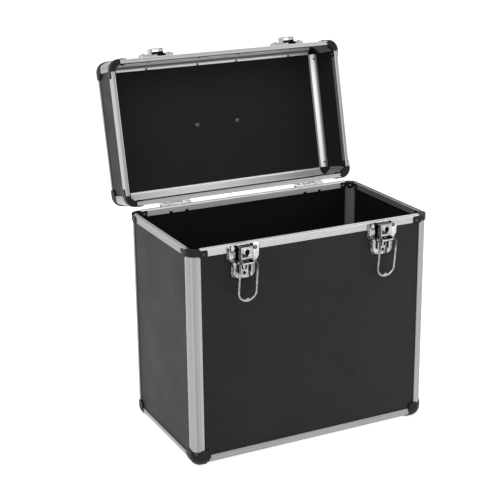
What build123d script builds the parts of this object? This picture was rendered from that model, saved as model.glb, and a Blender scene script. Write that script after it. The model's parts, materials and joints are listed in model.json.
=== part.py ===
from build123d import *
import os
from math import radians, sqrt, tan

# Record carrying case: a deep base and a shallow hinged lid, each a set of thin laminated
# panels held in aluminium edge profiles, with plastic corners, two draw latches and a handle.
# Frame: origin on the floor below the middle of the whole case, +X right, -Y front, +Z up.
# Everything on the lid is modelled shut and then swung open about the hinge pins.

# ---------------------------------------------------------------- driving dimensions, mm
case_width = 363.2
case_depth = 206.0
base_height = 306.3
lid_height = 70.0
lid_gap = 0.3
lid_open_angle = 103.1

panel_thickness = 3.3
skin_step = 1.2              # how far the panels lie below the outer faces of the profiles

profile_leg = 15.4           # reach of an edge profile along each wall, outside and inside
profile_land = 1.5           # flat lip beside the rounded outer face
slot_depth = 4.4             # how deep a panel sits in a profile
web_lip = 2.6                # narrow inner lips beside the slanted web
lip_thickness = 0.9
profile_bore = 2.4           # hollow running along each edge profile

rim_thickness = 6.0
base_rim_face = 9.5
lid_rim_face = 10.2
rim_inner_leg = 8.4
rim_slot_depth = 5.0
tongue_width = 2.0
tongue_height = 1.8
tongue_clearance = 0.35
rim_edge_radius = 0.6
profile_end_gap = 0.2

corner_proud = 1.2           # plastic corners stand this far outside the profiles
corner_reach = 24.2
corner_collar = 21.0         # reach of a corner along the middle of a profile
collar_radius = 16.3
corner_ear_radius = 8.0
corner_clearance = 0.1

bracket_cap = 1.5
bracket_band = 8.5
bracket_lobe_length = 10.0
bracket_lobe_height = 10.2
bracket_lobe_drop = 0.7
bracket_lobe_radius = 2.5
bracket_skin = 1.2
clover_radius = 4.2
clover_drop = 5.7

rivet_radius = 1.6
rivet_head_radius = 2.6
rivet_head_height = 1.2
rivet_tail_height = 0.9
rivet_notch = 2.6            # half width of the relief cut in a rim behind a rivet

hinge_centre = 108.5
hinge_width = 47.0
hinge_axis_offset = 5.0      # pin centre behind the back face
hinge_axis_drop = 0.4        # pin centre below the lid's rim
hinge_sheet = 1.2
hinge_barrel_radius = 3.4
hinge_pin_radius = 1.7
hinge_pin_clearance = 0.08
hinge_knuckle = 17.4         # length of the lid's knuckle, in the middle
hinge_knuckle_gap = 0.3
base_leaf_height = 43.0
lid_leaf_height = 37.0
leaf_corner_radius = 4.0
hinge_rivet_spacing = 24.6
hinge_rivet_top = 8.4
base_leaf_rivet_low = 36.0
lid_leaf_rivet_low = 30.0
stop_lug_reach = 7.6
stop_lug_gap = 0.3

latch_centre = 105.5
latch_width = 47.6
latch_top = 0.5              # top edge below the rim's top
latch_shoulder = 17.0        # where the wide upper part starts to narrow
latch_neck = 28.0
latch_shield_width = 35.4
latch_shield_bottom = 48.0
latch_sheet = 0.9
latch_tray = 3.4             # the plate is drawn up this far, with sloping sides
latch_draft = 38.0
latch_window = 12.8          # half width of the sunk pocket behind the lever
latch_window_top = 1.1
latch_window_bottom = 23.6
latch_rivet_offset = 16.0
latch_rivet_drop = 5.7
latch_rivet_head = 3.1
latch_slot_offset = 8.8
latch_slot_width = 1.6
latch_slot_length = 12.4
latch_slot_drop = 32.0       # middle of the two long slots
latch_hole_radius = 1.35
latch_hole_drop = 40.1

lever_width = 17.2
lever_sheet = 1.0
lever_top = 1.6
lever_bottom = 18.2
lever_front = 12.0
lever_back = 3.2
lever_side_gap = 0.4
lever_pin_radius = 1.2
lever_pin_clearance = 0.06
lever_pin_out = 5.0
lever_pin_drop = 4.6
lever_lug_sheet = 1.4
lever_lug_radius = 2.2
lever_swing = 75.0

bail_pivot_out = 13.5
bail_pivot_drop = 22.0
bail_wire = 1.5              # radius of the wire
bail_half_width = 12.7
bail_jog_out = 3.4           # step out and down from the pivot to the top of the legs
bail_jog_down = 3.4
bail_crown_in = 2.9          # crown below the pivot, and this far back towards the case
bail_crown_down = 52.9
bail_bend = 1.9
bail_hole_clearance = 0.08
bail_roll_inner = 1.9        # rolled lower edge of the lever, round the bail's ends
bail_roll_sheet = 0.9
bail_nub_width = 5.0
bail_nub_height = 2.4
bail_shut_out = 8.7          # how far from the case the crown lies when it is over the catch

plug_radius = 3.6
plug_hole_clearance = 0.06
plug_drop = 9.6
plug_back = 3.6
plug_set_back = 0.15
plug_sleeve = 1.1
plug_cam_reach = 6.4
keyhole_radius = 3.0
keyhole_tail = 4.8
lever_slot_half = 7.6        # long slot between the lock box and the roll
lever_slot_low = 20.6
emboss_size = 12.6
emboss_height = 0.7
key_slot_width = 1.5
key_slot_length = 4.2

keeper_width = 52.0
keeper_height = 14.5
keeper_above_rim = 9.0
keeper_tray = 4.5
keeper_sheet = 1.0
keeper_draft = 20.0
keeper_rivet_offset = 19.5
hook_clearance = 0.3
hook_half_width = 9.0
hook_front = 11.8
hook_sheet = 1.2
hook_throat = 3.8            # room between the block and the hook's front for the wire
hook_inset = 0.6             # the block and hook start this far up the plate
hook_lip_half = 7.0
hook_lip_rise = 4.5          # lip above the cheeks

handle_plate_length = 118.0
handle_plate_width = 25.0
handle_plate_sheet = 1.5
handle_screw_spacing = 66.0
handle_screw_radius = 2.0
handle_screw_head = 3.6
handle_pivot_spacing = 104.0
handle_pivot_height = 9.0
handle_pin_radius = 2.5
handle_pin_clearance = 0.1
handle_ear_radius = 6.0
handle_ear_sheet = 3.0
handle_reach = 34.0
handle_grip_radius = 9.0
handle_arm_width = 11.0
handle_arm_thickness = 7.0
handle_hang_angle = 13.1

# ---------------------------------------------------------------- places worked out from them
half_width = case_width / 2
half_depth = case_depth / 2
base_z = corner_proud
rim_top_z = base_z + base_height
lid_plane_z = rim_top_z + lid_gap
lid_top_z = lid_plane_z + lid_height
wall_inside = skin_step + panel_thickness
round_radius = profile_leg - profile_land
slot_end = profile_leg - slot_depth
web_sum = wall_inside + lip_thickness + profile_leg - web_lip   # u + v on the slanted web
end_inset = profile_leg + profile_end_gap
hinge_y = half_depth + hinge_axis_offset
hinge_z = lid_plane_z - hinge_axis_drop
latch_xs = (-latch_centre, latch_centre)
hinge_xs = (-hinge_centre, hinge_centre)
low = (Align.MIN, Align.MIN, Align.MIN)
out_of_front = Plane.XZ      # local x right, local y up, extrudes out of the front


def box(x_range, y_range, z_range):
    """A box between two corners."""
    size = [hi - lo for lo, hi in (x_range, y_range, z_range)]
    return Pos(x_range[0], y_range[0], z_range[0]) * Box(*size, align=low)


def rod(radius, start, direction, length):
    """A round bar from a start point along a direction."""
    return Plane(origin=start, z_dir=direction) * Cylinder(radius, length, align=(Align.CENTER, Align.CENTER, Align.MIN))


def polygon(points):
    return make_face(Polyline(*points, close=True))


def rivet(start, direction, grip, head=rivet_head_radius):
    """A domed head at the start, with a shank and a small tail head, grip long."""
    tail = head * 0.75
    outline = make_face([
        ThreePointArc((0, rivet_head_height), (head * 0.6, rivet_head_height * 0.75), (head, 0)),
        Polyline(
            (head, 0), (rivet_radius, 0), (rivet_radius, -grip), (tail, -grip), (tail * 0.6, -grip - rivet_tail_height),
            (0, -grip - rivet_tail_height), (0, rivet_head_height)),
    ])
    return Plane(origin=start, z_dir=direction) * revolve(Plane.XZ * outline, Axis.Z)


def near(piece, other):
    """Whether two bounding boxes meet."""
    a, b = piece.bounding_box(), other.bounding_box()
    return all(low <= high for low, high in zip((*a.min, *b.min), (*b.max, *a.max)))


def drilled(piece, fasteners):
    """The piece with a hole for every fastener that passes through it."""
    for fastener in fasteners:
        if near(piece, fastener):
            piece -= fastener
    return piece


def four_corners(shape):
    """A front left piece, with its copies for the other three corners."""
    front_right = mirror(shape, about=Plane.YZ)
    return {
        "front_left": shape,
        "front_right": front_right,
        "back_left": mirror(shape, about=Plane.XZ),
        "back_right": mirror(front_right, about=Plane.XZ),
    }


def group(shapes):
    return Compound(children=[s for shape in shapes for s in shape.solids()])


# ---------------------------------------------------------------- profiles
def edge_sketch():
    """Edge profile: outer corner at the origin, one leg along each axis."""
    leg, land, step, inside = profile_leg, profile_land, skin_step, wall_inside
    lip = inside + lip_thickness
    web_start = leg - web_lip
    outline = [
        Line((leg, 0), (leg - land, 0)),
        RadiusArc((leg - land, 0), (0, leg - land), round_radius),
        Line((0, leg - land), (0, leg)),
        Polyline(
            (0, leg), (step, leg), (step, slot_end), (inside, slot_end), (inside, leg), (lip, leg),
            (lip, web_start), (web_start, lip), (leg, lip), (leg, inside), (slot_end, inside),
            (slot_end, step), (leg, step), (leg, 0)),
    ]
    round_middle = round_radius * (1 - sqrt(0.5))
    bore_centre = (round_middle + web_sum / 2) / 2
    return make_face(outline) - Pos(bore_centre, bore_centre) * RegularPolygon(profile_bore, 6, rotation=45)


def envelope_sketch(grow, reach):
    """Outline that a corner moulding closes round: square with one rounded corner."""
    radius = round_radius + grow
    return make_face([
        Line((reach, -grow), (round_radius, -grow)),
        RadiusArc((round_radius, -grow), (-grow, round_radius), radius),
        Polyline((-grow, round_radius), (-grow, reach), (reach, reach), (reach, -grow)),
    ])


def rim_sketch(face_height, tongue):
    """Rim profile: outer face on the left, top at zero, panel slot below."""
    step, inside, thick = skin_step, wall_inside, rim_thickness
    body = polygon([
        (0, 0), (thick, 0), (thick, -rim_inner_leg), (inside, -rim_inner_leg), (inside, -rim_slot_depth),
        (step, -rim_slot_depth), (step, -face_height), (0, -face_height)])
    body = fillet(body.vertices().sort_by(Axis.Y)[-2:], rim_edge_radius)
    half = tongue_width / 2
    middle = thick / 2
    if tongue:
        return body + polygon([
            (middle - half, -1), (middle + half, -1), (middle + half, tongue_height), (middle - half, tongue_height)])
    half = half + tongue_clearance
    deep = tongue_height + tongue_clearance - lid_gap
    return body - polygon([(middle - half, 1), (middle + half, 1), (middle + half, -deep), (middle - half, -deep)])


def along_x(sketch, y, z, length):
    """Extrude a sketch along X: its x runs inwards from the front, its y upwards."""
    return extrude(Plane(origin=(-length / 2, y, z), x_dir=(0, 1, 0), z_dir=(1, 0, 0)) * sketch, length)


def along_y(sketch, x, z, length):
    """Extrude a sketch along Y: its x runs inwards from the left, its y upwards."""
    return extrude(Plane(origin=(x, length / 2, z), x_dir=(1, 0, 0), z_dir=(0, -1, 0)) * sketch, length)


def ring_of_four(sketch, z):
    """Front, back, left and right lengths of one section, cut square between the corners."""
    front = along_x(sketch, -half_depth, z, case_width - 2 * end_inset)
    left = along_y(sketch, -half_width, z, case_depth - 2 * end_inset)
    return {
        "front": front,
        "back": mirror(front, about=Plane.XZ),
        "left": left,
        "right": mirror(left, about=Plane.YZ),
    }


def upright(z_low, z_high):
    return extrude(Pos(-half_width, -half_depth, z_low) * edge_sketch(), z_high - z_low)


# ---------------------------------------------------------------- panels
def wall_panels(z_low, z_high):
    """Four wall panels, each seated in the slots round it."""
    x_in, y_in = half_width - slot_end, half_depth - slot_end
    front = box((-x_in, x_in), (-half_depth + skin_step, -half_depth + wall_inside), (z_low, z_high))
    left = box((-half_width + skin_step, -half_width + wall_inside), (-y_in, y_in), (z_low, z_high))
    return {
        "front": front,
        "back": mirror(front, about=Plane.XZ),
        "left": left,
        "right": mirror(left, about=Plane.YZ),
    }


def flat_panel(z_low, z_high):
    x_in, y_in = half_width - slot_end, half_depth - slot_end
    return box((-x_in, x_in), (-y_in, y_in), (z_low, z_high))


# ---------------------------------------------------------------- plastic corners
def ball_corner():
    """Three-way moulded corner, outer corner of the profiles at the origin, inwards positive."""
    reach, proud, leg = corner_reach, corner_proud, profile_leg
    block = box(*[(-proud, reach)] * 3)
    outer_edges = [
        e for e in block.edges()
        if sum(abs(value + proud) < 0.01 for value in (e.center().X, e.center().Y, e.center().Z)) == 2]
    block = fillet(outer_edges, round_radius + proud)
    shell = block - box(*[(skin_step, reach + 1)] * 3)
    core = (block & box(*[(-proud, leg)] * 3))
    core -= Plane(origin=(web_sum / 3 + leg / 3,) * 3, z_dir=(1, 1, 1)) * Box(
        4 * leg, 4 * leg, 4 * leg, align=(Align.CENTER, Align.CENTER, Align.MIN))
    slab, beyond = (skin_step, wall_inside), (slot_end, reach)
    for ranges in ((slab, beyond, beyond), (beyond, slab, beyond), (beyond, beyond, slab)):
        core -= box(*ranges)
    tunnel = extrude(envelope_sketch(corner_clearance, leg + corner_clearance), reach)
    ear_cut = box((reach - corner_ear_radius, reach + 1), (reach - corner_ear_radius, reach + 1), (-proud - 1, skin_step + 1))
    ear_cut -= rod(corner_ear_radius, (reach - corner_ear_radius, reach - corner_ear_radius, -proud - 2), (0, 0, 1),
                   2 * proud + skin_step + 4)
    collar = rod(collar_radius, (-reach, -reach, corner_collar + collar_radius), (1, 1, 0), 3 * reach)
    for turn in (Pos(0, 0, 0), Plane(origin=(0, 0, 0), x_dir=(0, 1, 0), z_dir=(1, 0, 0)).location,
                 Plane(origin=(0, 0, 0), x_dir=(0, 0, 1), z_dir=(0, 1, 0)).location):
        shell -= turn * (Pos(0, 0, leg) * tunnel)
        shell -= turn * ear_cut
        shell -= turn * collar
    return shell + core


def clover_lobe():
    """One round lobe of the inner plate, lying in XZ with its back on y = 0, top at z = 0."""
    strip = box((-clover_radius, clover_radius), (0, bracket_skin), (-clover_drop, 0))
    return strip + rod(clover_radius, (0, 0, -clover_drop), (0, 1, 0), bracket_skin)


def rim_bracket():
    """Corner bracket of a rim: outer corner at the origin, inwards positive, rim top at z = 0."""
    leg, proud = profile_leg, corner_proud
    inner = rim_thickness + bracket_skin
    slant = web_sum + bracket_skin * sqrt(2)
    outline = envelope_sketch(proud, leg)
    outline -= polygon([(slant - inner, inner), (leg + 1, inner), (leg + 1, leg + 1), (inner, leg + 1), (inner, slant - inner)])
    cap = extrude(outline, -bracket_cap)
    band = extrude(envelope_sketch(proud, leg) - envelope_sketch(corner_clearance, leg + 1), -bracket_band)
    lobe_sketch = Pos(leg + bracket_lobe_length / 2 - 1, -bracket_lobe_drop - bracket_lobe_height / 2) * RectangleRounded(
        bracket_lobe_length + 2, bracket_lobe_height, bracket_lobe_radius)
    front_lobe = extrude(out_of_front * lobe_sketch, proud)
    front_lobe += box((leg - 2, leg + 0.5), (-proud, -corner_clearance), (-bracket_band, 0))
    front_lobe -= box((0, leg + bracket_lobe_length + 1), (-corner_clearance, 1), (-40, 1))
    wall_lobe = Pos(leg + clover_radius + 0.4, rim_thickness, 0) * clover_lobe()
    wall_lobe += box((slant - inner, leg + clover_radius), (rim_thickness, inner), (-clover_drop, 0))
    diagonal = Plane(origin=(0, 0, 0), z_dir=(1, -1, 0))
    web_middle = Plane(origin=(web_sum / 2, web_sum / 2, 0), x_dir=(1, -1, 0), z_dir=(0, 0, 1))
    web_lobe = web_middle * clover_lobe()
    web_lobe += web_middle * box((-web_lip * 1.4, web_lip * 1.4), (0, bracket_skin), (-clover_drop, 0))
    piece = cap + band + front_lobe + wall_lobe + web_lobe
    piece += mirror(front_lobe, about=diagonal)
    piece += mirror(wall_lobe, about=diagonal)
    return piece


def bracket_rivets():
    """Rivets of one rim bracket, in the bracket's own frame."""
    leg = profile_leg
    across = leg + clover_radius + 0.4
    deep = rim_thickness + bracket_skin
    wall = rivet((across, deep, -clover_drop), (0, 1, 0), deep + corner_proud)
    slant = web_sum / 2 + bracket_skin / sqrt(2)
    web = rivet((slant, slant, -clover_drop), (1, 1, 0), bracket_skin + 1.5)
    other = mirror(wall, about=Plane(origin=(0, 0, 0), z_dir=(1, -1, 0)))
    return wall + web + other


# ---------------------------------------------------------------- hinges, axis along X at the origin
def hinge_leaf(height, knuckles):
    """Leaf hanging below the axis against the wall behind it, with its rolled knuckles."""
    wall = -hinge_axis_offset
    plate_sketch = Pos(0, -height / 2) * Rectangle(hinge_width, height)
    plate_sketch = fillet(plate_sketch.vertices().sort_by(Axis.Y)[:2], leaf_corner_radius)
    leaf_top = -hinge_barrel_radius + hinge_sheet
    plate = extrude(Plane(origin=(0, wall, 0), x_dir=(1, 0, 0), z_dir=(0, -1, 0)) * plate_sketch, -hinge_sheet)
    plate -= box((-hinge_width, hinge_width), (wall - 1, 1), (leaf_top, 1))
    for start, end in knuckles:
        plate += rod(hinge_barrel_radius, (start, 0, 0), (1, 0, 0), end - start)
        plate += box((start, end), (wall, 0), (-hinge_barrel_radius, leaf_top))
    plate -= rod(hinge_pin_radius + hinge_pin_clearance, (-hinge_width, 0, 0), (1, 0, 0), 2 * hinge_width)
    return plate


def leaf_rivets(rows):
    grip = hinge_sheet + wall_inside
    return [
        rivet((side * hinge_rivet_spacing / 2, -hinge_axis_offset + hinge_sheet, -drop), (0, 1, 0), grip)
        for drop in rows for side in (-1, 1)]


# ---------------------------------------------------------------- latch, front face at y = 0, rim top at z = 0
def front_box(x_range, out_range, z_range):
    """A box given by how far it stands out of the front face."""
    return box(x_range, (-out_range[1], -out_range[0]), z_range)


def front_plate(sketch, out_range):
    """A flat plate from a sketch seen from the front, between two distances out."""
    return extrude(Pos(0, -out_range[0], 0) * (out_of_front * sketch), out_range[1] - out_range[0])


def both_sides(shape):
    return shape + mirror(shape, about=Plane.YZ)


def latch_outline(grow=0.0):
    """Outline of the latch's plate: wide over the rim, narrowing to a round-ended shield."""
    wide, narrow = latch_width / 2 + grow, latch_shield_width / 2 + grow
    outline = polygon([
        (-wide, -latch_top + grow), (wide, -latch_top + grow), (wide, -latch_shoulder), (narrow, -latch_neck),
        (narrow, -latch_shield_bottom - grow), (-narrow, -latch_shield_bottom - grow), (-narrow, -latch_neck),
        (-wide, -latch_shoulder)])
    return fillet(outline.vertices().sort_by(Axis.Y)[:2], narrow * 0.62)


def drawn(lower, upper, height):
    """A flat-topped pressing that rises from one outline on the face to a smaller one."""
    top = Pos(0, -height, 0) * (out_of_front * upper)
    return loft([out_of_front * lower, top])


def latch_plate():
    """Base plate, drawn up off the face, with a pocket for the lever and a slotted shield."""
    run = latch_tray * tan(radians(latch_draft))
    plate = drawn(latch_outline(), latch_outline(-run), latch_tray)
    plate -= drawn(latch_outline(-latch_sheet), latch_outline(-run - latch_sheet), latch_tray - latch_sheet)
    window = ((-latch_window, latch_window), (-latch_window_bottom, -latch_window_top))
    rim = latch_sheet
    walls = ((window[0][0] - rim, window[0][1] + rim), (window[1][0] - rim, window[1][1]))
    plate += front_box(walls[0], (0, latch_tray), walls[1])
    plate -= front_box(window[0], (rim, latch_tray + 1), window[1])
    lug_in = lever_width / 2 + lever_side_gap
    lug = (lug_in, lug_in + lever_lug_sheet)
    side = front_box(lug, (0, lever_pin_out), (-lever_pin_drop - lever_lug_radius, -lever_pin_drop + lever_lug_radius))
    side += rod(lever_lug_radius, (lug[0], -lever_pin_out, -lever_pin_drop), (1, 0, 0), lever_lug_sheet)
    plate += both_sides(side)
    slot = Pos(latch_slot_offset, -latch_slot_drop) * SlotOverall(latch_slot_length, latch_slot_width, rotation=90)
    leaf = Pos(2.6, -latch_neck - 2.5) * Rot(0, 0, -20) * Ellipse(1.0, 4.2)
    plate -= both_sides(front_plate(slot + leaf, (-1, latch_tray + 1)))
    hole_ring = Pos(0, -latch_hole_drop) * Circle(latch_hole_radius + 1.1)
    plate += front_plate(hole_ring, (latch_tray - latch_sheet, latch_tray + 0.7))
    plate -= rod(latch_hole_radius, (0, 1, -latch_hole_drop), (0, -1, 0), latch_tray + 3)
    return plate - rod(lever_pin_radius, (-latch_window, -lever_pin_out, -lever_pin_drop), (1, 0, 0), 2 * latch_window)


def lever_pin():
    half = lever_width / 2 + lever_side_gap + lever_lug_sheet + 0.5
    return rod(lever_pin_radius, (-half, -lever_pin_out, -lever_pin_drop), (1, 0, 0), 2 * half)


def latch_rivets():
    return [
        rivet((side * latch_rivet_offset, -latch_tray, -latch_rivet_drop), (0, -1, 0), latch_tray + wall_inside,
              latch_rivet_head)
        for side in (-1, 1)]


def latch_lever():
    """Folded lever: a lock box with a keyhole, and a rolled lower edge that carries the bail."""
    half, sheet = lever_width / 2, lever_sheet
    lever = front_box((-half, half), (lever_back, lever_front), (-lever_bottom, -lever_top))
    lever = fillet(lever.faces().sort_by(Axis.Y)[0].edges(), 1.2)
    lever -= front_box((-half + sheet, half - sheet), (-1, lever_front - sheet), (-lever_bottom - 1, -lever_top - sheet))
    emboss = Pos(0, -plug_drop) * RectangleRounded(emboss_size, emboss_size, 1.0)
    lever += extrude(Pos(0, -lever_front + 0.2, 0) * (out_of_front * emboss), emboss_height + 0.2, taper=25)
    roll_outer = bail_roll_inner + bail_roll_sheet
    pivot = (bail_pivot_out, -bail_pivot_drop)
    cheek = polygon([
        (lever_back, -lever_bottom + 1), (lever_front - 1.2, -lever_bottom + 1), (lever_front, -lever_bottom),
        (pivot[0] + roll_outer, pivot[1]), (pivot[0], pivot[1] - roll_outer), (lever_front - 4, -lever_bottom - 2)])
    cheek_plane = Plane(origin=(half, 0, 0), x_dir=(0, -1, 0), z_dir=(-1, 0, 0))
    lever += both_sides(extrude(cheek_plane * cheek, sheet))
    roll_start = (-half, -pivot[0], pivot[1])
    lever += rod(roll_outer, roll_start, (1, 0, 0), lever_width)
    lever -= rod(bail_roll_inner, (-half + sheet, -pivot[0], pivot[1]), (1, 0, 0), lever_width - 2 * sheet)
    lever -= rod(bail_wire + bail_hole_clearance, (-half - 1, -pivot[0], pivot[1]), (1, 0, 0), lever_width + 2)
    lever -= front_box((-lever_slot_half, lever_slot_half), (lever_front - sheet - 0.5, pivot[0] + roll_outer),
                       (-lever_slot_low, -lever_bottom - 0.4))
    sleeve_start = (0, -plug_back - 2, -plug_drop)
    sleeve_length = lever_front - plug_back - 2 - sheet / 2
    lever += rod(plug_radius + plug_hole_clearance + plug_sleeve, sleeve_start, (0, -1, 0), sleeve_length)
    bore_length = lever_front - sheet - plug_back
    lever -= rod(plug_radius + plug_hole_clearance, (0, -plug_back, -plug_drop), (0, -1, 0), bore_length)
    keyhole = Circle(keyhole_radius) + polygon([
        (-keyhole_radius * 0.8, -keyhole_radius * 0.6), (keyhole_radius * 0.8, -keyhole_radius * 0.6), (0, -keyhole_tail)])
    lever -= front_plate(Pos(0, -plug_drop) * keyhole, (lever_front - sheet - 0.5, lever_front + 2))
    pin_hole = (-half - 1, -lever_pin_out, -lever_pin_drop)
    return lever - rod(lever_pin_radius + lever_pin_clearance, pin_hole, (1, 0, 0), lever_width + 2)


def lock_plug():
    """Turning key plug with its cam, behind the keyhole."""
    front = lever_front - lever_sheet - plug_set_back
    plug = rod(plug_radius, (0, -plug_back, -plug_drop), (0, -1, 0), front - plug_back)
    plug -= front_box((-key_slot_width / 2, key_slot_width / 2), (front - 3.0, front + 1),
                      (-plug_drop - key_slot_length / 2, -plug_drop + key_slot_length / 2))
    return plug + front_box((-1.6, 1.6), (plug_back, plug_back + 1.4), (-plug_drop - plug_cam_reach, -plug_drop))


def bail():
    """Wire bail hanging from the lever's roll: a step out, then legs leaning back to a round crown."""
    half = bail_half_width
    end = lever_width / 2 - lever_sheet - 0.6
    top = (-bail_pivot_out - bail_jog_out, -bail_pivot_drop - bail_jog_down)
    crown = (-bail_pivot_out + bail_crown_in, -bail_pivot_drop - bail_crown_down)
    leg_length = sqrt((crown[0] - top[0]) ** 2 + (crown[1] - top[1]) ** 2)
    along = ((crown[0] - top[0]) / leg_length, (crown[1] - top[1]) / leg_length)
    bend = (crown[0] - half * along[0], crown[1] - half * along[1])
    pivot = (-bail_pivot_out, -bail_pivot_drop)
    sides = [
        [(side * end, *pivot), (side * half, *pivot), (side * half, *top), (side * half, *bend)] for side in (-1, 1)]
    left = FilletPolyline(*sides[0], radius=bail_bend)
    right = FilletPolyline(*sides[1][::-1], radius=bail_bend)
    arc = ThreePointArc(sides[0][-1], (0, *crown), sides[1][-1])
    path = Wire([*left.edges(), *arc.edges(), *right.edges()])
    wire = sweep(Plane(origin=sides[0][0], z_dir=(-1, 0, 0)) * Circle(bail_wire), path=path)
    nub = box((-bail_nub_width / 2, bail_nub_width / 2), (crown[0] - bail_wire * 0.8, crown[0] + bail_wire * 0.8),
              (crown[1], crown[1] + bail_wire + bail_nub_height))
    return wire + fillet(nub.edges().filter_by(Axis.Y), 1.0)


# ---------------------------------------------------------------- keeper, lid front at y = 0, lid rim at z = 0
bail_reach = sqrt(bail_crown_in ** 2 + bail_crown_down ** 2)
bail_shut_rise = sqrt(bail_reach ** 2 - (bail_pivot_out - bail_shut_out) ** 2) - bail_pivot_drop - lid_gap


def keeper():
    """Pressed plate with a raised block and a three-sided hook for the bail's crown."""
    middle = keeper_above_rim + keeper_height / 2
    outline = Pos(0, middle) * RectangleRounded(keeper_width, keeper_height, 3.0)
    plate = extrude(out_of_front * outline, keeper_tray, taper=keeper_draft)
    inner = offset(outline, -keeper_sheet * 1.2)
    plate -= extrude(out_of_front * inner, keeper_tray - keeper_sheet, taper=keeper_draft)
    wire_inside = bail_half_width - bail_wire - hook_clearance
    half = hook_half_width
    hook_low = keeper_above_rim + hook_inset
    hook_top = bail_shut_rise - bail_half_width + sqrt(wire_inside ** 2 - half ** 2)
    lip_top = hook_top + hook_lip_rise
    front = polygon([
        (-half, hook_low), (half, hook_low), (half, hook_top), (hook_lip_half, hook_top),
        (hook_lip_half - 1.5, lip_top), (1.5 - hook_lip_half, lip_top), (-hook_lip_half, hook_top), (-half, hook_top)])
    plate += front_plate(front, (hook_front - hook_sheet, hook_front))
    block_out = hook_front - hook_sheet - hook_throat
    block_top = keeper_above_rim + keeper_height - 2.5
    plate += front_box((-half, half), (keeper_tray - keeper_sheet, block_out), (hook_low, block_top))
    cheek = front_box((half - hook_sheet, half), (keeper_tray - keeper_sheet, hook_front), (hook_low, hook_top))
    return plate + both_sides(cheek)


def keeper_rivets():
    middle = keeper_above_rim + keeper_height / 2
    return [
        rivet((side * keeper_rivet_offset, -keeper_tray, middle), (0, -1, 0), keeper_tray + wall_inside, latch_rivet_head)
        for side in (-1, 1)]


# ---------------------------------------------------------------- handle, panel face at z = 0
def handle_plate():
    length = handle_plate_length
    plate = extrude(RectangleRounded(length, handle_plate_width, 5.0), handle_plate_sheet)
    for side in (-1, 1):
        inner, outer = sorted((side * handle_pivot_spacing / 2, side * (handle_pivot_spacing / 2 + handle_ear_sheet)))
        ear = box((inner, outer), (-handle_ear_radius, handle_ear_radius), (0, handle_pivot_height))
        ear += rod(handle_ear_radius, (inner, 0, handle_pivot_height), (1, 0, 0), outer - inner)
        pin_start, pin_end = sorted((side * (handle_pivot_spacing / 2 - handle_arm_thickness + 1.0),
                                     side * (handle_pivot_spacing / 2 + 1)))
        ear += rod(handle_pin_radius, (pin_start, 0, handle_pivot_height), (1, 0, 0), pin_end - pin_start)
        plate += ear
    return plate


def handle_grip():
    """Grip with two arms, lying along +Y from its pivots at the height of the pins."""
    half = handle_pivot_spacing / 2 - 0.4
    bar = rod(handle_grip_radius, (-half, 0, 0), (1, 0, 0), 2 * half)
    bar = fillet(bar.edges(), 3.0)
    grip = Pos(0, handle_reach, 0) * bar
    for side in (-1, 1):
        inner, outer = sorted((side * half, side * (half - handle_arm_thickness)))
        arm = box((inner, outer), (0, handle_reach), (-handle_arm_width / 2, handle_arm_width / 2))
        arm += rod(handle_arm_width / 2, (inner, 0, 0), (1, 0, 0), outer - inner)
        grip += arm
        grip -= rod(handle_pin_radius + handle_pin_clearance, (side * half, 0, 0), (-side, 0, 0),
                    handle_arm_thickness - 0.4)
    return Pos(0, 0, handle_pivot_height) * grip


def handle_screw(side):
    """Pan-head screw driven from inside the lid, with a nut over the plate."""
    x = side * handle_screw_spacing / 2
    head = rod(handle_screw_head, (x, 0, -panel_thickness - 1.6), (0, 0, 1), 1.6)
    head = fillet(head.edges().sort_by(Axis.Z)[0], 0.9)
    shank = rod(handle_screw_radius, (x, 0, -panel_thickness - 0.5), (0, 0, 1), panel_thickness + handle_plate_sheet + 2.6)
    nut = extrude(Pos(x, 0, handle_plate_sheet) * RegularPolygon(3.4, 6), 2.2)
    return head + shank + nut


# ---------------------------------------------------------------- assembly
nodes = {}
lid_nodes = {}
base_fasteners = []
lid_fasteners = []
hinge_pins = []
latch_pins = []


def reliefs(fasteners, rim_plane, away):
    """Blocks that clear a rim's inner leg behind the rivets that pass through or under it."""
    blocks = []
    for fastener in fasteners:
        middle = fastener.center(CenterOf.BOUNDING_BOX)
        if abs(middle.Z - rim_plane) < rim_inner_leg + rivet_notch:
            sign = 1 if middle.Y > 0 else -1
            y_range = sorted((sign * (half_depth - wall_inside), sign * (half_depth - rim_thickness - 1)))
            z_range = sorted((middle.Z - away * rivet_notch, middle.Z + away * (rim_inner_leg + rivet_notch)))
            blocks.append(box((middle.X - rivet_notch, middle.X + rivet_notch), y_range, z_range))
    return blocks


side_length = (hinge_width - hinge_knuckle) / 2 - hinge_knuckle_gap
knuckle_spans = [(-hinge_width / 2, -hinge_width / 2 + side_length), (hinge_width / 2 - side_length, hinge_width / 2)]
base_rows = (hinge_rivet_top, base_leaf_rivet_low)
lid_rows = (hinge_rivet_top, lid_leaf_rivet_low)
base_leaf = hinge_leaf(base_leaf_height, knuckle_spans)
lid_leaf = mirror(hinge_leaf(lid_leaf_height, [(-hinge_knuckle / 2, hinge_knuckle / 2)]), about=Plane.XY)
lug_back = -hinge_axis_offset + hinge_sheet + stop_lug_gap
stop_lug = box((-hinge_knuckle / 2, hinge_knuckle / 2), (lug_back, -0.6), (-stop_lug_reach, -1.5))
stop_lug -= rod(hinge_pin_radius + hinge_pin_clearance, (-hinge_width, 0, 0), (1, 0, 0), 2 * hinge_width)
lid_leaf += stop_lug.rotate(Axis.X, lid_open_angle)
hinge_pin = rod(hinge_pin_radius, (-hinge_width / 2 - 0.6, 0, 0), (1, 0, 0), hinge_width + 1.2)
hinge_rows = leaf_rivets(base_rows)
lid_hinge_rows = [mirror(piece, about=Plane.XY) for piece in leaf_rivets(lid_rows)]
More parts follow.
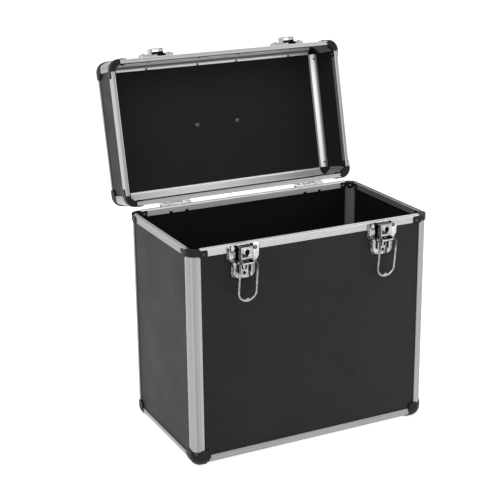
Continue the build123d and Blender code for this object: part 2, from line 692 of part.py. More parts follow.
for name, x in zip(("left", "right"), hinge_xs):
    at_axis = Pos(x, hinge_y, hinge_z)
    nodes["hinge_base_leaf_" + name] = at_axis * base_leaf
    lid_nodes["hinge_lid_leaf_" + name] = at_axis * lid_leaf
    hinge_pins.append(at_axis * hinge_pin)
    base_fasteners += [at_axis * piece for piece in hinge_rows]
    lid_fasteners += [at_axis * piece for piece in lid_hinge_rows]

latch_pieces = {"plate": latch_plate(), "lever": latch_lever(), "lock_plug": lock_plug(), "bail": bail()}
keeper_piece = keeper()
for name, x in zip(("left", "right"), latch_xs):
    at_front = Pos(x, -half_depth, rim_top_z)
    at_lid = Pos(x, -half_depth, lid_plane_z)
    for part, piece in latch_pieces.items():
        nodes["latch_" + part + "_" + name] = at_front * piece
    lid_nodes["latch_keeper_" + name] = at_lid * keeper_piece
    latch_pins.append(at_front * lever_pin())
    base_fasteners += [at_front * piece for piece in latch_rivets()]
    lid_fasteners += [at_lid * piece for piece in keeper_rivets()]

base_reliefs = reliefs(base_fasteners, rim_top_z, -1)
lid_reliefs = reliefs(lid_fasteners, lid_plane_z, 1)
rim_corner = Pos(-half_width, -half_depth, rim_top_z)
lid_rim_corner = Pos(-half_width, -half_depth, lid_plane_z)
for corner in four_corners(rim_corner * bracket_rivets()).values():
    base_fasteners += corner.solids()
for corner in four_corners(lid_rim_corner * mirror(bracket_rivets(), about=Plane.XY)).values():
    lid_fasteners += corner.solids()

for side, piece in wall_panels(base_z + slot_end, rim_top_z - rim_slot_depth).items():
    nodes["base_" + side + "_panel"] = piece
nodes["base_bottom_panel"] = flat_panel(base_z + skin_step, base_z + wall_inside)
for corner, piece in four_corners(upright(base_z + end_inset, rim_top_z - bracket_cap)).items():
    nodes["base_upright_" + corner] = piece
for side, piece in ring_of_four(edge_sketch(), base_z).items():
    nodes["base_bottom_profile_" + side] = piece
for side, piece in ring_of_four(rim_sketch(base_rim_face, True), rim_top_z).items():
    nodes["base_rim_" + side] = piece - base_reliefs
for corner, piece in four_corners(Pos(-half_width, -half_depth, base_z) * ball_corner()).items():
    nodes["base_ball_corner_" + corner] = piece
nodes["base_rim_brackets"] = group(four_corners(rim_corner * rim_bracket()).values())

for side, piece in wall_panels(lid_plane_z + rim_slot_depth, lid_top_z - slot_end).items():
    lid_nodes["lid_" + side + "_panel"] = piece
lid_nodes["lid_top_panel"] = flat_panel(lid_top_z - wall_inside, lid_top_z - skin_step)
for side, piece in ring_of_four(edge_sketch(), 0).items():
    lid_nodes["lid_top_profile_" + side] = Pos(0, 0, lid_top_z) * mirror(piece, about=Plane.XY)
for side, piece in ring_of_four(rim_sketch(lid_rim_face, False), 0).items():
    lid_nodes["lid_rim_" + side] = Pos(0, 0, lid_plane_z) * mirror(piece, about=Plane.XY) - lid_reliefs
lid_nodes["lid_uprights"] = group(four_corners(upright(lid_plane_z + bracket_cap, lid_top_z - end_inset)).values())
lid_ball = Pos(-half_width, -half_depth, lid_top_z) * mirror(ball_corner(), about=Plane.XY)
lid_nodes["lid_ball_corners"] = group(four_corners(lid_ball).values())
lid_nodes["lid_rim_brackets"] = group(four_corners(lid_rim_corner * mirror(rim_bracket(), about=Plane.XY)).values())

screws = [Pos(0, 0, lid_top_z - skin_step) * handle_screw(side) for side in (-1, 1)]
lid_fasteners_all = lid_fasteners + screws
lid_nodes["handle_plate"] = Pos(0, 0, lid_top_z - skin_step) * handle_plate()
hang = handle_grip().rotate(Axis((0, 0, handle_pivot_height), (1, 0, 0)), handle_hang_angle)
nodes = {name: drilled(piece, base_fasteners) for name, piece in nodes.items()}
lid_nodes = {name: drilled(piece, lid_fasteners_all) for name, piece in lid_nodes.items()}
nodes["hinge_pins"] = group(hinge_pins)
nodes["latch_pins"] = group(latch_pins)
nodes["base_rivets"] = group(base_fasteners)
lid_nodes["lid_rivets"] = group(lid_fasteners)
lid_nodes["handle_screws"] = group(screws)
lid_nodes["handle_grip"] = Pos(0, 0, lid_top_z - skin_step) * hang

pin_line = Axis((0, hinge_y, hinge_z), (1, 0, 0))
for name, piece in lid_nodes.items():
    nodes[name] = piece.rotate(pin_line, -lid_open_angle)
front_y = min(piece.bounding_box().min.Y for piece in nodes.values())
back_y = max(piece.bounding_box().max.Y for piece in nodes.values())
centring = Pos(0, -(front_y + back_y) / 2, 0)

os.makedirs("parts", exist_ok=True)
for name, piece in nodes.items():
    export_step(centring * piece, "parts/" + name + ".step")
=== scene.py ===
import json
from math import cos, pi, radians, sin

import bpy
from mathutils import Matrix, Vector


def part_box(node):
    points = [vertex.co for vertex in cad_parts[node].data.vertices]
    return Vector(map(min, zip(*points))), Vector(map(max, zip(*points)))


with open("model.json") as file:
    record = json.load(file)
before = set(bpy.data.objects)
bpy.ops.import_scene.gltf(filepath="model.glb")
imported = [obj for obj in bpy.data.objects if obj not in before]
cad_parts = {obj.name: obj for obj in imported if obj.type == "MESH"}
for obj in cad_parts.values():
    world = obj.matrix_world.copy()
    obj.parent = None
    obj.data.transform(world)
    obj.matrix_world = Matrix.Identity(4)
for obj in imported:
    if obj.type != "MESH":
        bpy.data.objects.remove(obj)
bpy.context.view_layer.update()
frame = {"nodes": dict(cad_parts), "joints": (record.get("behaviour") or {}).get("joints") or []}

# ---------------------------------------------------------------- sizes, metres and degrees
MM = 0.001
HINGE = next(joint for joint in frame["joints"] if joint["name"] == "lid_hinge")
LID_OPEN = HINGE["range_deg"][1]          # how far the lid is swung open at rest
BOTTOM_LOW, BOTTOM_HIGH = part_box("base_bottom_panel")
CENTRE_Y = (BOTTOM_LOW.y + BOTTOM_HIGH.y) / 2
CASE_BASE = 1.2 * MM             # underside of the bottom profiles above the floor
RIM_LOW, RIM_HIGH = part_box("base_rim_front")
RIM_TOP = RIM_HIGH.z
HALF_DEPTH = CENTRE_Y - RIM_LOW.y
HALF_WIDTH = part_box("base_upright_front_right")[1].x
PLATE_LOW, PLATE_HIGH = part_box("latch_plate_right")
LATCH_CENTRE = (PLATE_LOW.x + PLATE_HIGH.x) / 2
LID_RISE = 70.3 * MM             # top of the shut lid above the base's rim
SHUT_TOP = RIM_TOP + LID_RISE

CAMERA_AZIMUTH = -26.379
CAMERA_ELEVATION = 18.108
CAMERA_ROLL = -0.566
CAMERA_DISTANCE = 1.899311
CAMERA_SHIFT_RIGHT = -39.798 * MM
CAMERA_SHIFT_UP = 239.629 * MM
FOCAL_PIXELS = 1293.863
IMAGE_PIXELS = 500
SENSOR = 36.0

FLOOR_REACH = 8.0
FLOOR_DROP = 0.2 * MM            # keeps the floor clear of the undersides that stand on it
FLOOR_GLOW = 0.75                # added where the floor is seen, so that it shows as white
SKY_GLOW = 0.35                  # strength of the white surroundings as a light; 1 where they are seen
LIGHTS_AIM = Vector((0, 0, 0.25))

ALL_NOISE = (0.3, 0.7)           # the part of 0..1 that a noise fills
MOST_NOISE = (0.35, 0.65)


# ---------------------------------------------------------------- node helpers
class Nodes:
    """A small writer of shader nodes. A mask runs from 0 to 1; plain numbers can stand in for sockets."""

    def __init__(self, tree):
        self.tree = tree

    def node(self, kind, inputs=(), **settings):
        made = self.tree.nodes.new(kind)
        for key, value in settings.items():
            setattr(made, key, value)
        for key, value in dict(inputs).items():
            self.plug(made, key, value)
        return made

    def plug(self, node, key, value):
        if isinstance(value, bpy.types.NodeSocket):
            self.tree.links.new(value, node.inputs[key])
        else:
            node.inputs[key].default_value = value

    def math(self, operation, a, b=0.0):
        return self.node("ShaderNodeMath", {0: a, 1: b}, operation=operation).outputs[0]

    def magnitude(self, value):
        return self.math("ABSOLUTE", value)

    def chain(self, operation, values):
        joined = values[0]
        for value in values[1:]:
            joined = self.math(operation, joined, value)
        return joined

    def total(self, *values):
        return self.chain("ADD", values)

    def every(self, *masks):
        """1 where all the masks are; a number among them makes the result fainter."""
        return self.chain("MULTIPLY", masks)

    def some(self, *masks):
        return self.chain("MAXIMUM", masks)

    def inverse(self, mask):
        return self.math("SUBTRACT", 1, mask)

    def span(self, value, low, high, to_low=0.0, to_high=1.0):
        """value from low..high stretched to to_low..to_high, and held there beyond the ends."""
        inputs = {"Value": value, "From Min": low, "From Max": high, "To Min": to_low, "To Max": to_high}
        return self.node("ShaderNodeMapRange", inputs).outputs["Result"]

    def band(self, value, low, high, soft=0.2 * MM):
        """1 where value lies between low and high."""
        return self.every(self.span(value, low - soft, low + soft), self.span(value, high - soft, high + soft, 1, 0))

    def patch(self, *sides, soft=0.2):
        """1 where each value lies between its low and its high, in millimetres, as soft is."""
        return self.every(*(self.band(value, low * MM, high * MM, soft * MM) for value, low, high in sides))

    def blend(self, mask, a, b):
        """a where mask is 0, b where it is 1; both are numbers or grey sockets."""
        return self.node("ShaderNodeMix", {"Factor": mask, 2: a, 3: b}).outputs[0]

    def axes(self, vector):
        return tuple(self.node("ShaderNodeSeparateXYZ", {0: vector}).outputs)

    def shifted(self, vector, offset):
        return self.node("ShaderNodeVectorMath", {0: vector, 1: offset}, operation="ADD").outputs[0]

    def shown(self):
        """1 for rays that end in the picture: straight on, mirrored or through something clear."""
        path = self.node("ShaderNodeLightPath").outputs
        return self.some(path["Is Camera Ray"], path["Is Glossy Ray"], path["Is Transmission Ray"])


class Shade(Nodes):
    """The material of some pieces. tilted says that they ride on the lid, which is open at rest."""

    SOCKETS = {"color": "Base Color", "roughness": "Roughness", "metallic": "Metallic", "normal": "Normal",
               "specular": "Specular IOR Level"}

    def __init__(self, name, tilted=False):
        self.material = bpy.data.materials.new(name)
        self.material.use_nodes = True
        super().__init__(self.material.node_tree)
        self.shader = self.tree.nodes["Principled BSDF"]
        self.tilted = tilted

    def set(self, **values):
        for key, value in values.items():
            grey = key == "color" and isinstance(value, float)
            self.plug(self.shader, self.SOCKETS[key], (value, value, value, 1) if grey else value)
        return self.material

    def turned_shut(self, vector):
        """A direction at rest turned to where it points once the lid is shut."""
        inputs = {"Vector": vector, "Rotation": (radians(LID_OPEN), 0, 0)}
        return self.node("ShaderNodeMapping", inputs, vector_type="POINT").outputs[0]

    def place(self):
        """Position in the shut case's frame, in metres, from the floor below the middle of the base."""
        at_rest = self.node("ShaderNodeTexCoord").outputs["Object"]
        if not self.tilted:
            return self.shifted(at_rest, (0, -CENTRE_Y, 0))
        x, y, z = HINGE["pos_m"]
        return self.shifted(self.turned_shut(self.shifted(at_rest, (-x, -y, -z))), (x, y - CENTRE_Y, z))

    def facing(self):
        """Direction of the surface in the shut case's frame."""
        normal = self.node("ShaderNodeTexCoord").outputs["Normal"]
        return self.turned_shut(normal) if self.tilted else normal

    def latch_place(self, where):
        """Across from the middle of the latch, out from the case's front, and up from the rim's top."""
        x, y, z = self.axes(where)
        across = self.math("SUBTRACT", x, self.math("MULTIPLY", self.math("SIGN", x), LATCH_CENTRE))
        out = self.math("SUBTRACT", self.math("MULTIPLY", y, -1), HALF_DEPTH)
        return across, out, self.math("SUBTRACT", z, RIM_TOP)

    def inner_faces(self, where):
        """1 on what lies more than a skin's depth inside the shut case, 0 on its outside."""
        x, y, z = self.axes(where)
        return self.every(self.band(x, -HALF_WIDTH + SKIN, HALF_WIDTH - SKIN),
                          self.band(y, -HALF_DEPTH + SKIN, HALF_DEPTH - SKIN),
                          self.band(z, CASE_BASE + SKIN, SHUT_TOP - SKIN))

    def inward(self, where):
        """1 on faces turned towards the middle of the shut case."""
        from_middle = self.shifted(where, (0, 0, -SHUT_TOP / 2))
        turned = self.node("ShaderNodeVectorMath", {0: from_middle, 1: self.facing()}, operation="DOT_PRODUCT")
        return self.span(turned.outputs["Value"], 2 * MM, -2 * MM)

    def noise(self, where, size, detail=3.0, stretch=(1, 1, 1), roughness=0.55):
        """Noise with features of about size millimetres, longer along an axis where stretch is large."""
        scaled = self.node("ShaderNodeVectorMath", {0: where, 1: tuple(1 / s for s in stretch)}, operation="MULTIPLY")
        inputs = {"Vector": scaled.outputs[0], "Scale": 1 / (size * MM), "Detail": detail, "Roughness": roughness}
        return self.node("ShaderNodeTexNoise", inputs).outputs["Fac"]

    def bump(self, height, depth, strength, under=None):
        """A normal tilted as if height stood depth millimetres high, on top of the normal under it."""
        inputs = {"Height": height, "Distance": depth * MM, "Strength": strength}
        if under is not None:
            inputs["Normal"] = under
        return self.node("ShaderNodeBump", inputs).outputs[0]

    def soft_edge(self, radius):
        """A normal that rounds sharp edges by radius millimetres."""
        return self.node("ShaderNodeBevel", {"Radius": radius * MM}, samples=4).outputs[0]


# ---------------------------------------------------------------- panels, extrusions and plastic
X, Y, Z = range(3)
SKIN = 2.6 * MM                  # depth below the outside at which the inner faces start
DIAMOND_PITCH = 3.5 * MM         # of the embossing on the laminate
BLACK = 0.006                    # tone of plastic and of deep shade
SCREW_SPOT_AND_SHADE = 0.02                      # tone of the screw spots, and of the painted shade on what lies below a web
DENT_SHADE = 0.12                      # tone of the painted shade in the staked dents
SATIN = 0.6                      # how metallic the aluminium is
# the web's bands of painted light and shade, the painted shade below it, and the painted falloff of light along X
SECOND_BAND = (8.0 * MM, 8.8 * MM)        # depths below the shut lid's top, like the next two
THIRD_BAND = (11.2 * MM, 12.0 * MM)
SHADE_BELOW_WEB = (13.0 * MM, 13.6 * MM)
LIGHT_FALLOFF_ALONG_X = (-20 * MM, 130 * MM)
STAKE_LEFT, STAKE_RIGHT, STAKE_SOFT = 3.4 * MM, 0.4 * MM, 0.8 * MM
SCREW_FROM_END = (24.3 * MM, 21.7 * MM)   # limits of a screw spot, in from the case's outside
SCREW_FROM_SIDE = (9.6 * MM, 7.4 * MM)
SLEEVE_SOFT = 0.3 * MM


def laminate(name, tilted):
    """Black sheet embossed with small diamonds outside, plain inside, faintly mottled and scuffed; the lid's inside
    carries painted light.
    """
    s = Shade(name, tilted)
    where = s.place()
    x, y, z = s.axes(where)
    inside = s.inner_faces(where)
    wave = 2 * pi / DIAMOND_PITCH
    across = s.math("SINE", s.math("MULTIPLY", s.math("ADD", x, y), wave))
    upward = s.math("SINE", s.math("MULTIPLY", z, wave))
    lifted = s.span(s.math("MULTIPLY", across, upward), -0.38, 0.38)
    mottle = s.noise(where, 60, 4)
    grain = s.noise(where, 0.6, 2)
    scuffs = s.noise(where, 4, 5, stretch=(1, 1, 14))
    outer_tone = s.every(s.total(s.span(lifted, 0, 1, 0.0, 0.036), s.span(mottle, *ALL_NOISE, 0.0, 0.006)),
                         s.span(x, -HALF_WIDTH, HALF_WIDTH, 0.85, 1.35))
    # painted light: the lid's inside takes a lighter tone than the base's inside, for the light on the open lid
    inner_tone = s.span(mottle, *ALL_NOISE, *((0.019, 0.024) if tilted else (0.003, 0.006)))
    rough = s.total(s.span(mottle, *ALL_NOISE, 0.38, 0.5), s.span(scuffs, 0.62, 0.8, 0.0, 0.12), s.every(inside, 0.35))
    normal = s.bump(s.every(lifted, s.inverse(inside)), 0.12, 0.5, s.bump(grain, 0.05, 0.35))
    return s.set(color=s.blend(inside, outer_tone, inner_tone), roughness=rough, normal=normal, specular=0.13)


def lip_tone(s, x, depth, axis, tone, stakes):
    """Tone of the flat faces inside, with painted shade below the web on the side profiles, and painted shade in the
    dents of the staking at those places along X.
    """
    # painted shade on the side profiles' flat faces below the web
    if axis == Y:
        tone = s.blend(s.span(depth, *SHADE_BELOW_WEB), tone, SCREW_SPOT_AND_SHADE)
    # painted shade in the staked dents
    for stake in stakes:
        tone = s.blend(s.band(x, stake - STAKE_LEFT, stake + STAKE_RIGHT, STAKE_SOFT), tone, DENT_SHADE)
    return tone


def web_tone(s, x, y, depth, axis, tones, third_band, fade):
    """Tone of the slanted web inside: one tone or three bands below the lid's top, which on the lid are painted
    highlights and painted shade, a painted falloff of light along X, and two screw spots.
    """
    tone, *deeper = tones
    for deeper_tone, start in zip(deeper, (SECOND_BAND, third_band)):
        tone = s.blend(s.span(depth, *start), tone, deeper_tone)
    # painted falloff of the web's light towards the right
    if fade is not None:
        tone = s.blend(s.span(x, *LIGHT_FALLOFF_ALONG_X), tone, fade)
    if axis == Y:
        spots = s.every(s.band(s.magnitude(y), *(HALF_DEPTH - inset for inset in SCREW_FROM_END)),
                        s.band(s.magnitude(x), *(HALF_WIDTH - inset for inset in SCREW_FROM_SIDE)))
        tone = s.blend(spots, tone, SCREW_SPOT_AND_SHADE)
    return tone


def sleeve_mask(s, place, axis, length, inside):
    """1 on the ends of an extrusion that the black corners close round."""
    if axis == Z:
        along, end = (place[Z], SHUT_TOP) if s.tilted else (s.math("MULTIPLY", place[Z], -1), -CASE_BASE)
    else:
        along, end = s.magnitude(place[axis]), (HALF_WIDTH, HALF_DEPTH)[axis]
    covered = s.span(along, end - length - SLEEVE_SOFT, end - length + SLEEVE_SOFT)
    return covered if axis == Z else s.every(covered, s.inverse(inside))


def extrusion(name, axis, tilted, light, spread=0.10, corner=False, top=None, lip=None, stakes=(), web=(0.34,),
              web_metal=SATIN, third_band=THIRD_BAND, fade=None, sleeve=None):
    """Satin aluminium with drawing lines along one axis.

    light and spread are the middle and the half width of its tones. corner adds a painted dark reflection band down
    a rounded edge. top is the tone of what looks up, painted light from above. lip is that of the flat faces inside
    and web those of the slanted faces inside: their near-white tones are painted highlights and their dark bands
    painted shade, and fade is the tone that this painted light falls off to at the right. sleeve is the length of
    the black ends.
    """
    s = Shade(name, tilted)
    where = s.place()
    x, y, z = place = s.axes(where)
    drawn = tuple(260 if i == axis else 1 for i in range(3))
    lines = s.noise(where, 0.9, 4, stretch=drawn, roughness=0.7)
    streaks = s.noise(where, 4.2, 2, stretch=drawn)
    cloud = s.noise(where, 30, 4, stretch=tuple(4 if i == axis else 1 for i in range(3)))
    nicks = s.noise(where, 2.5, 6)
    tone = s.total(s.every(lines, 0.35), s.every(streaks, 0.45), s.every(cloud, 0.2))
    color = s.span(tone, *MOST_NOISE, light - spread, light + spread)
    facing = s.axes(s.facing())
    nx, ny, nz = (s.magnitude(part) for part in facing)
    if corner:
        # painted reflection: a dark band down the rounded corner, placed by the way the surface faces
        painted_dark_band = s.band(s.every(ny, s.span(nx, 0.0, 0.25)), 0.80, 0.93, 0.06)
        color = s.math("SUBTRACT", color, s.every(painted_dark_band, 0.12))
    # painted light: faces looking up take the lighter top tone
    if top is not None:
        color = s.blend(s.span(facing[Z], 0.35, 0.6), color, top)
    inside = s.every(s.inner_faces(where), s.inward(where))
    slanted = s.span(s.total(nx, ny, nz), 1.15, 1.3)
    depth = s.math("SUBTRACT", SHUT_TOP, z)
    # painted highlight: the flat inner faces take the lip tone
    if lip is not None:
        color = s.blend(s.every(inside, s.inverse(slanted)), color, lip_tone(s, x, depth, axis, lip, stakes))
    # painted light and shade: the slanted inner faces take the web tones, near-white painted highlights and dark bands
    # of painted shade
    on_web = s.every(inside, slanted)
    color = s.blend(on_web, color, web_tone(s, x, y, depth, axis, web, third_band, fade))
    metallic = SATIN if web_metal == SATIN else s.blend(on_web, SATIN, web_metal)
    if sleeve is not None:
        covered = sleeve_mask(s, place, axis, sleeve, inside)
        color = s.blend(covered, color, BLACK)
        metallic = s.blend(covered, metallic, 0.0)
    rough = s.total(s.span(cloud, *ALL_NOISE, 0.30, 0.40), s.span(nicks, 0.66, 0.8, 0.0, 0.2))
    return s.set(color=color, roughness=rough, metallic=metallic, normal=s.bump(lines, 0.05, 0.3, s.soft_edge(0.35)))


def moulded(name, tilted):
    """Black moulded plastic with a fine spark-eroded grain."""
    s = Shade(name, tilted)
    where = s.place()
    grain = s.noise(where, 0.8, 3)
    cloud = s.noise(where, 20, 4)
    return s.set(color=s.span(cloud, *ALL_NOISE, 0.003, 0.008), roughness=s.span(cloud, *ALL_NOISE, 0.42, 0.58),
                 normal=s.bump(grain, 0.06, 0.4, s.soft_edge(0.6)), specular=0.22)


# ---------------------------------------------------------------- latches and fasteners
RIVET_ACROSS = 16.0 * MM         # of the latch plate's rivets from its middle line
KEYHOLE_DROP = 9.6 * MM          # of the embossed square round the keyhole below the rim's top
NECK = (-37 * MM, -33 * MM)      # heights at which painted shade darkens the bail's wire, near its pivots
ENDS = (32 * MM, 30 * MM)        # the rivets nearer than this to the case's sides are made dark


def plated(name, tilted=False, tones=(0.42, 0.68), rough=0.2):
    """Plated metal, slightly wavy and hazed, with hairline scratches."""
    s = Shade(name, tilted)
    where = s.place()
    haze = s.noise(where, 8, 4)
    scratches = s.noise(where, 0.7, 4, stretch=(1, 1, 18))
    roughness = s.total(s.span(haze, *ALL_NOISE, rough - 0.06, rough + 0.08), s.span(scratches, 0.6, 0.8, 0.0, 0.12))
    wavy = s.bump(haze, 0.25, 0.3, s.soft_edge(0.4))
    return s.set(color=s.span(haze, *MOST_NOISE, *tones), roughness=roughness, metallic=1.0,
                 normal=s.bump(scratches, 0.02, 0.25, wavy))


def pressed_chrome(name, painted_shade_places, tilted=False, faces=(0.14, 0.56), slopes=(0.015, 0.24), side_metal=1.0):
    """Chrome pressing: streaky, with painted light and shade on its sides and undersides, a painted lit band right of
    its middle, and black painted shade in its recesses.
    """
    s = Shade(name, tilted)
    where = s.place()
    across, out, up = s.latch_place(where)
    nx, _, nz = s.axes(s.facing())
    ripple = s.noise(where, 2.2, 3, stretch=(1, 1, 3))
    haze = s.noise(where, 8, 3)
    tone = s.total(s.every(ripple, 0.6), s.every(haze, 0.4))
    # painted light: a band right of the middle takes lighter face tones
    painted_lit_side = s.every(s.patch((across, 8.8, 30), soft=1), s.span(up, -24 * MM, -20 * MM))
    face = s.blend(painted_lit_side, s.span(tone, 0.38, 0.6, *faces), s.span(tone, 0.38, 0.6, 0.42, 0.72))
    slope = s.span(s.noise(where, 1.1, 2, stretch=(1, 1, 6)), 0.4, 0.62, *slopes)
    # painted light and shade: sides and undersides take the slope tones
    side = s.span(s.magnitude(nx), 0.35, 0.55)
    underside = s.span(nz, -0.3, -0.55)
    color = s.blend(s.some(side, underside), face, slope)
    # painted shade: the places given by the function passed in are made black
    color = s.blend(painted_shade_places(s, across, out, up), color, BLACK)
    metallic = 1.0 if side_metal == 1.0 else s.blend(side, 1.0, side_metal)
    return s.set(color=color, roughness=s.span(haze, *ALL_NOISE, 0.10, 0.22), metallic=metallic,
                 normal=s.bump(ripple, 0.3, 0.35, s.soft_edge(0.35)))


def disc(s, across, up, centre_up, radius):
    """1 within a round spot where across is 0; its height and radius are in millimetres."""
    rise = s.math("SUBTRACT", up, centre_up * MM)
    reach = s.math("SQRT", s.total(s.every(across, across), s.every(rise, rise)))
    return s.span(reach, (radius + 0.25) * MM, (radius - 0.25) * MM)


def plate_painted_shade(s, across, out, up):
    """Painted shade on the latch's base plate: black in its pocket, slots and a hole, round a rivet, on a slope and at
    its right, and two dark leaf-shaped patches.
    """
    sideways = s.magnitude(across)
    from_rivet = s.math("ADD", across, RIVET_ACROSS)
    above_slope = s.math("SUBTRACT", up, s.every(across, 0.35))
    # painted shade: pocket sides and floor, slot gaps, a ring round the rivet, the sloping shoulder, the right side
    # and a hole; leaves are dark leaf-shaped patches
    pocket_sides = s.patch((sideways, 9.2, 13.2), (up, -26.0, -1.0))
    pocket_floor = s.every(s.patch((sideways, -1, 12.7), (up, -24.8, -8.0)), s.span(out, 3.0 * MM, 2.6 * MM))
    slots = s.every(s.some(s.patch((across, -11.9, -9.7)), s.patch((across, 6.4, 8.6))), s.patch((up, -38.6, -25.0)))
    rivet_rim = s.math("SUBTRACT", disc(s, from_rivet, up, -6.1, 4.9), disc(s, from_rivet, up, -5.7, 3.1))
    shoulder = s.every(s.patch((across, -20, -8), soft=0.8), s.patch((above_slope, -19.8, -16.4), soft=0.5), 0.85)
    leaves = s.every(s.patch((sideways, 1.6, 3.9), (up, -35.5, -27.5)), 0.9)
    right_shade = s.every(s.patch((across, 11.5, 17), (up, -44, -26), soft=1), 0.55)
    spare_hole = disc(s, across, up, -40.1, 1.9)
    return s.some(pocket_sides, pocket_floor, slots, rivet_rim, shoulder, leaves, right_shade, spare_hole)


def lever_painted_shade(s, across, out, up):
    """Painted shade on the lever and its lock box: black in the slot under the box, inside it, on the emboss's lower
    corner, along its crease and in the keyhole.
    """
    sideways = s.magnitude(across)
    rise = s.math("ADD", up, KEYHOLE_DROP)
    slot_under_box = s.patch((sideways, -1, 8.0), (up, -23.0, -20.9))
    inside_box = s.every(s.patch((sideways, -1, 7.7)), s.span(out, 11.2 * MM, 10.9 * MM),
                         s.span(up, -18.4 * MM, -18.0 * MM))
    below_diagonal = s.span(s.total(s.every(across, 0.9), rise), -5.6 * MM, -6.2 * MM)
    lower_corner = s.every(s.patch((across, -7.2, 0.4), (rise, -7.0, -1.6)), below_diagonal, 0.92)
    crease = s.every(s.patch((s.some(sideways, s.magnitude(rise)), 6.1, 6.6), soft=0.1), 0.6)
    keyhole = disc(s, across, up, -9.4, 3.3)
    return s.some(slot_under_box, inside_box, lower_corner, crease, keyhole)


def keeper_painted_shade(s, across, out, up):
    """Painted shade on the keeper: on the block between the hook's cheeks, and to its right."""
    block = s.patch((s.magnitude(across), -1, 8.8), (out, 3.4, 7.4))
    wedge = s.every(s.patch((across, 0, 12.5), soft=0.6), s.patch((out, 0.8, 6.4)))
    return s.some(block, wedge)


def wire(name):
    """Plated wire: greyer legs, a painted highlight on the crown, and painted shade round the pivots."""
    s = Shade(name)
    where = s.place()
    haze = s.noise(where, 6, 4)
    legs, crown, neck_shade = (s.span(haze, *MOST_NOISE, *tones) for tones in ((0.2, 0.37), (0.4, 0.75), (0.05, 0.12)))
    *_, up = s.latch_place(where)
    *_, nz = s.axes(s.facing())
    # painted highlight: faces turned up or down, as on the crown, take the lighter tones
    tone = s.blend(s.span(s.magnitude(nz), 0.25, 0.6), legs, crown)
    color = s.blend(s.span(up, *NECK), tone, neck_shade)
    return s.set(color=color, roughness=s.span(haze, *ALL_NOISE, 0.14, 0.28), metallic=1.0,
                 normal=s.bump(haze, 0.1, 0.2))


def riveting(name, tilted, screws=False):
    """Plated heads: bright on the latches and hinges, with painted shade on their undersides and on each latch's
    right-hand rivet, and dark at the case's ends and inside it; the screws are dark with noise-placed painted glints.
    """
    s = Shade(name, tilted)
    where = s.place()
    haze = s.noise(where, 1.2, 3)
    across, out, _ = s.latch_place(where)
    # painted shade: rivets right of a latch's middle take darker tones
    right = s.patch((across, 10, 22), (out, 0, 20))
    bright = s.blend(right, s.span(haze, *MOST_NOISE, 0.25, 0.65), s.span(haze, *MOST_NOISE, 0.06, 0.22))
    *_, nz = s.axes(s.facing())
    # painted shade on the heads' undersides
    color = s.blend(s.span(nz, -0.1, -0.35), bright, 0.03)
    x, *_ = s.axes(where)
    ends = s.span(s.magnitude(x), *(HALF_WIDTH - inset for inset in ENDS))
    if screws:
        # painted glints: dark heads with noise-placed light spots
        black = s.span(haze, 0.42, 0.58, 0.004, 0.16)
    else:
        black = s.blend(ends, s.span(haze, 0.42, 0.6, BLACK, 0.03), s.span(haze, 0.42, 0.6, 0.02, 0.16))
    color = s.blend(s.some(s.inner_faces(where), ends), color, black)
    return s.set(color=color, roughness=s.span(haze, *ALL_NOISE, 0.12, 0.28), metallic=1.0, normal=s.soft_edge(0.3))


# ---------------------------------------------------------------- which piece has which material
SIDES = (("base", False), ("lid", True))
LAMINATE = {side: laminate("laminate_" + side, tilted) for side, tilted in SIDES}
UPRIGHT = {side: extrusion("upright_" + side, Z, tilted, 0.38, corner=not tilted, sleeve=22.2 * MM)
           for side, tilted in SIDES}
STAKES = [place * MM for place in (-164, -102, -20, 44, 133)]
# the lid profiles' near-white lip and web tones are painted highlights, their dark web bands painted shade, and fade a
# painted falloff of light
PROFILE = {
    "base_x": extrusion("profile_base_x", X, False, 0.34, sleeve=22.5 * MM),
    "base_y": extrusion("profile_base_y", Y, False, 0.35, sleeve=20 * MM),
    "lid_x_front": extrusion("profile_lid_front", X, True, 0.42, lip=0.98, stakes=STAKES, web=(0.98, 0.27, 0.98),
                             web_metal=0.0),
    "lid_x_back": extrusion("profile_lid_back", X, True, 0.42, lip=0.98, web=(0.98,), web_metal=0.0, fade=0.5),
    "lid_y": extrusion("profile_lid_y", Y, True, 0.42, lip=0.85, web=(0.96, 0.95, 0.12), web_metal=0.85,
                       third_band=(10.4 * MM, 13.2 * MM)),
}
# the rims' top tones are painted light on their upward faces, and the back rim's near-white lip a painted highlight
RIM = {
    "base_x_front": extrusion("rim_front", X, False, 0.55, 0.06, top=0.85),
    "base_x_back": extrusion("rim_back", X, False, 0.55, 0.06, top=0.8, lip=0.98),
    "base_y": extrusion("rim_side", Y, False, 0.355, 0.06, top=0.75),
    "lid_x": extrusion("rim_lid_x", X, True, 0.54, 0.06),
    "lid_y": extrusion("rim_lid_y", Y, True, 0.54, 0.06),
}
MOULDED = {side: moulded("moulded_" + side, tilted) for side, tilted in SIDES}
PLATED = {side: plated("plated_" + side, tilted) for side, tilted in SIDES}
RIVETING = {side: riveting("rivets_" + side, tilted) for side, tilted in SIDES}
LATCH_PLATE = pressed_chrome("latch_plate", plate_painted_shade)
LATCH_LEVER = pressed_chrome("latch_lever", lever_painted_shade, faces=(0.3, 0.62), slopes=(0.08, 0.42), side_metal=0.3)
KEEPER = pressed_chrome("latch_keeper", keeper_painted_shade, tilted=True, faces=(0.2, 0.6), slopes=(0.2, 0.7))
WIRE = wire("wire")
SCREWS = riveting("screws", True, screws=True)
# painted shade: the lock's plug is plated near-black so that the keyhole shows dark
KEYHOLE_SHADE = plated("keyhole_shade_plug", tones=(0.004, 0.012), rough=0.4)


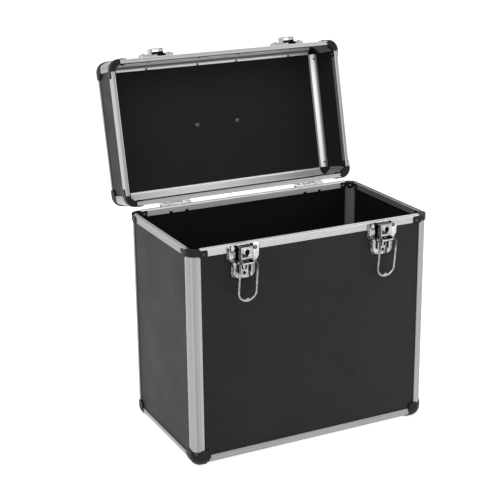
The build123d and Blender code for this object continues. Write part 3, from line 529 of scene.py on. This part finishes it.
def material_for(name):
    side = "lid" if name.startswith(("lid", "hinge_lid", "latch_keeper", "handle")) else "base"
    end = name.rsplit("_", 1)[1]
    if end == "panel":
        return LAMINATE[side]
    if "upright" in name:
        return UPRIGHT[side]
    for word, choices in (("profile", PROFILE), ("_rim_", RIM)):
        if word in name and end != "brackets":
            direction = side + ("_x" if end in ("front", "back") else "_y")
            return choices.get(direction + "_" + end) or choices[direction]
    if "corner" in name or "brackets" in name or name == "handle_grip":
        return MOULDED[side]
    if "screws" in name:
        return SCREWS
    if "rivets" in name:
        return RIVETING[side]
    if "lock_plug" in name:
        return KEYHOLE_SHADE
    if "bail" in name or "pins" in name:
        return WIRE
    if "latch_plate" in name:
        return LATCH_PLATE
    if "latch_lever" in name:
        return LATCH_LEVER
    if "keeper" in name:
        return KEEPER
    return PLATED[side]


for name, node in frame["nodes"].items():
    for slot in node.material_slots:
        slot.material = material_for(name)


# ---------------------------------------------------------------- camera
def camera_matrix():
    """The photograph's viewpoint, worked out from its angles."""
    az, el, roll = radians(CAMERA_AZIMUTH), radians(CAMERA_ELEVATION), radians(CAMERA_ROLL)
    back = Vector((sin(az) * cos(el), -cos(az) * cos(el), sin(el)))
    right = Vector((cos(az), sin(az), 0))
    up = back.cross(right)
    turned_right = cos(roll) * right + sin(roll) * up
    turned_up = -sin(roll) * right + cos(roll) * up
    place = back * CAMERA_DISTANCE + right * CAMERA_SHIFT_RIGHT + up * CAMERA_SHIFT_UP
    place += Vector((0, CENTRE_Y, CASE_BASE))
    axes = Matrix((turned_right, turned_up, back)).transposed().to_4x4()
    return Matrix.Translation(place) @ axes


camera_data = bpy.data.cameras.new("camera")
camera_data.sensor_width = SENSOR
camera_data.lens = FOCAL_PIXELS / IMAGE_PIXELS * SENSOR
camera_data.clip_end = 50
camera = bpy.data.objects.new("camera", camera_data)
bpy.context.collection.objects.link(camera)
camera.matrix_world = camera_matrix()
bpy.context.scene.camera = camera


# ---------------------------------------------------------------- floor, world, lights
def floor_material():
    """White floor that still takes the case's shadow."""
    s = Shade("floor")
    s.plug(s.shader, "Emission Color", (1, 1, 1, 1))
    s.plug(s.shader, "Emission Strength", s.every(s.shown(), FLOOR_GLOW))
    return s.set(color=0.86, roughness=0.9, specular=0.0)


floor_mesh = bpy.data.meshes.new("floor")
floor_corners = [(x * FLOOR_REACH, y * FLOOR_REACH, 0) for x, y in ((-1, -1), (1, -1), (1, 1), (-1, 1))]
floor_mesh.from_pydata(floor_corners, [], [(0, 1, 2, 3)])
floor = bpy.data.objects.new("floor", floor_mesh)
floor.location.z = -FLOOR_DROP
bpy.context.collection.objects.link(floor)
floor_mesh.materials.append(floor_material())

world = bpy.data.worlds.new("studio")
bpy.context.scene.world = world
world.use_nodes = True
sky = Nodes(world.node_tree)
background = sky.tree.nodes["Background"]
sky.plug(background, "Color", (1, 1, 1, 1))
sky.plug(background, "Strength", sky.span(sky.shown(), 0, 1, SKY_GLOW, 1.0))


def area_light(name, place, size, power):
    """A soft lamp aimed at the middle of the case."""
    data = bpy.data.lights.new(name, "AREA")
    data.shape = "RECTANGLE"
    data.size, data.size_y = size
    data.energy = power
    lamp = bpy.data.objects.new(name, data)
    lamp.location = place
    lamp.rotation_euler = (LIGHTS_AIM - Vector(place)).to_track_quat("-Z", "Y").to_euler()
    bpy.context.collection.objects.link(lamp)


area_light("key", (-1.8, -2.0, 2.4), (3.2, 2.6), 38)
area_light("fill", (2.6, -1.6, 1.5), (2.6, 2.4), 21)
area_light("top", (0.1, 0.6, 2.9), (3.0, 2.2), 22)

bpy.context.scene.view_settings.view_transform = "Standard"
